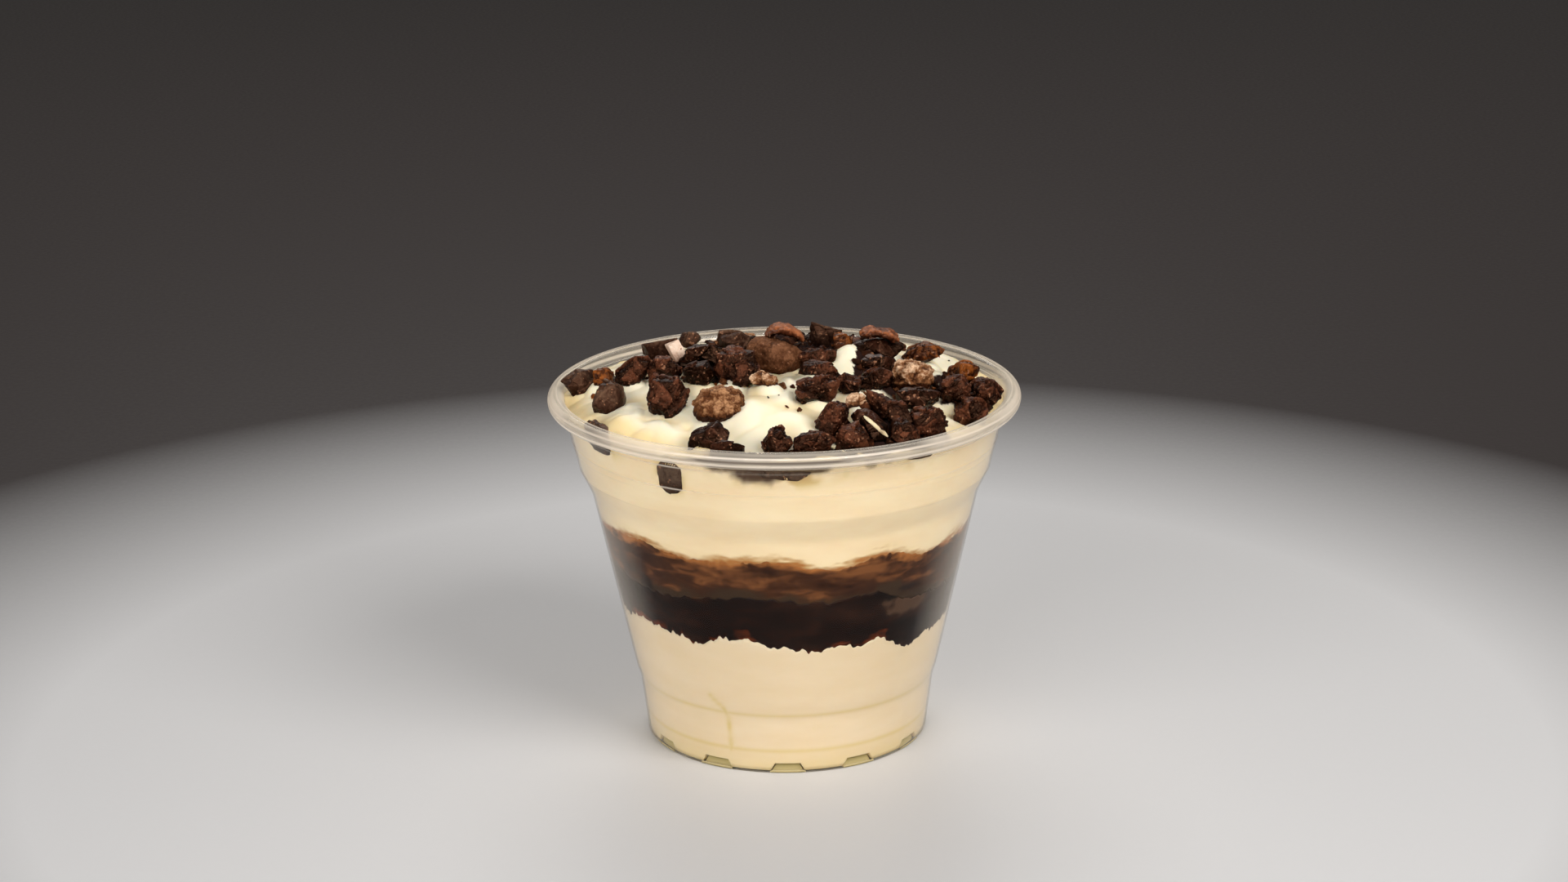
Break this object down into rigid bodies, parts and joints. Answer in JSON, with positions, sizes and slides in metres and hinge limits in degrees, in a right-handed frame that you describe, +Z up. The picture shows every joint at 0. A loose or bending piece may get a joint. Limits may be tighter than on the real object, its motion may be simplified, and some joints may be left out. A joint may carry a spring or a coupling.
{
  "type": "tiramisu cup",
  "caption": "Layered tiramisu dessert in a clear tapered cup: cream, dark and brown sponge layers, and cream heaped above the rim under broken brownie, chocolate and biscuit pieces.",
  "frame": {"origin": "centre of the cup's underside, on the surface that it stands on", "axes": "+Z up along the cup's axis, -Y towards the side shown in the picture"},
  "size_m": [0.098, 0.098, 0.0881],
  "materials": {
    "clear_plastic": "thin clear glossy plastic",
    "cream": "soft pale yellow cream with a satin sheen",
    "dark_sponge": "moist, nearly black, fine crumb",
    "brown_sponge": "soaked brown crumb with orange-brown streaks",
    "brownie": "rough dark brown crumb",
    "dark_chocolate": "snapped dark chocolate, dull sheen",
    "red_brown_piece": "red-brown, slightly shiny",
    "biscuit": "tan crumbly biscuit"
  },
  "bodies": {
    "root": {"cup": "clear_plastic", "cream_lower": "cream", "sponge_dark": "dark_sponge", "sponge_brown": "brown_sponge", "cream_upper": "cream", "black_01": "dark_chocolate", "cocoa_01": "brownie", "cocoa_02": "brownie", "cocoa_03": "brownie", "cocoa_04": "brownie", "black_02": "dark_chocolate", "cocoa_05": "brownie", "cocoa_06": "brownie", "cocoa_07": "brownie", "cocoa_08": "brownie", "cocoa_09": "brownie", "tan_01": "biscuit", "cocoa_10": "brownie", "cocoa_11": "brownie", "tan_02": "biscuit", "cocoa_12": "brownie", "cocoa_13": "brownie", "tan_03": "biscuit", "cocoa_14": "brownie", "black_03": "dark_chocolate", "tan_04": "biscuit", "cocoa_15": "brownie", "rust_01": "red_brown_piece", "grey_01": "dark_chocolate", "rust_02": "red_brown_piece", "rust_03": "red_brown_piece", "cocoa_16": "brownie", "grey_02": "dark_chocolate", "pink_01": "biscuit", "black_04": "dark_chocolate", "cocoa_17": "brownie", "black_05": "dark_chocolate", "grey_03": "dark_chocolate", "grey_04": "dark_chocolate", "grey_05": "dark_chocolate", "cocoa_18": "brownie", "cocoa_19": "brownie", "rust_04": "red_brown_piece", "black_06": "dark_chocolate", "black_07": "dark_chocolate", "rust_05": "red_brown_piece", "grey_06": "dark_chocolate", "pressed_01": "dark_chocolate", "pressed_02": "dark_chocolate", "pressed_03": "dark_chocolate", "pressed_04": "dark_chocolate", "pressed_05": "dark_chocolate", "curl_1": "red_brown_piece", "curl_2": "red_brown_piece"}
  },
  "joints": []
}
